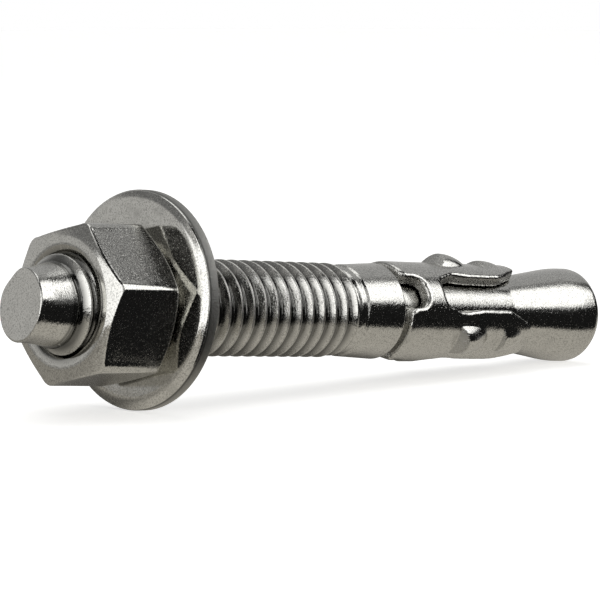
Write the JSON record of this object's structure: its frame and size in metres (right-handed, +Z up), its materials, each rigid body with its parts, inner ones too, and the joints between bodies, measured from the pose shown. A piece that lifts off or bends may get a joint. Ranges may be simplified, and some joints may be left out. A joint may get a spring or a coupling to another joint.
{
  "type": "wedge anchor",
  "caption": "Stainless steel wedge anchor: a threaded stud with a flared expansion cone, its slotted expansion clip, a flat washer and a hex nut, lying on its side.",
  "frame": {"origin": "centre of the underside of the bounding box, on the surface the anchor lies on", "axes": "+Z up, +X along the anchor from its threaded tip towards its expansion cone, level with the floor; the stud's own axis slopes down by 4.61 degrees towards the cone"},
  "size_m": [0.077, 0.0208, 0.0208],
  "materials": {
    "stud_steel": "bright cold-formed stainless steel",
    "nut_steel": "bright cold-formed stainless steel, with fine grain on the flats",
    "washer_steel": "tumbled, mirror-bright punched stainless steel",
    "clip_steel": "bright rolled stainless strip"
  },
  "bodies": {
    "stud": {"stud": "stud_steel"},
    "washer": {"washer": "washer_steel"},
    "nut": {"hex_nut": "nut_steel"},
    "clip": {"expansion_clip": "clip_steel"}
  },
  "joints": [
    {"name": "washer_slide", "type": "slide", "parent": "stud", "child": "washer", "axis": [0.9968, 0, -0.0803], "range_m": [-0.0007, 0.0255]},
    {"name": "nut_turn", "type": "hinge", "parent": "washer", "child": "nut", "pos_m": [-0.03288, 0, 0.0106], "axis": [0.9968, 0, -0.0803], "range_deg": [-150, 5760]},
    {"name": "clip_turn", "type": "hinge", "parent": "stud", "child": "clip", "pos_m": [0.00905, 0, 0.00722], "axis": [0.9968, 0, -0.0803], "continuous": true}
  ],
  "couplings": [
    {"joint": "washer_slide", "follows": "nut_turn", "m_per_rad": 0.00025266}
  ]
}
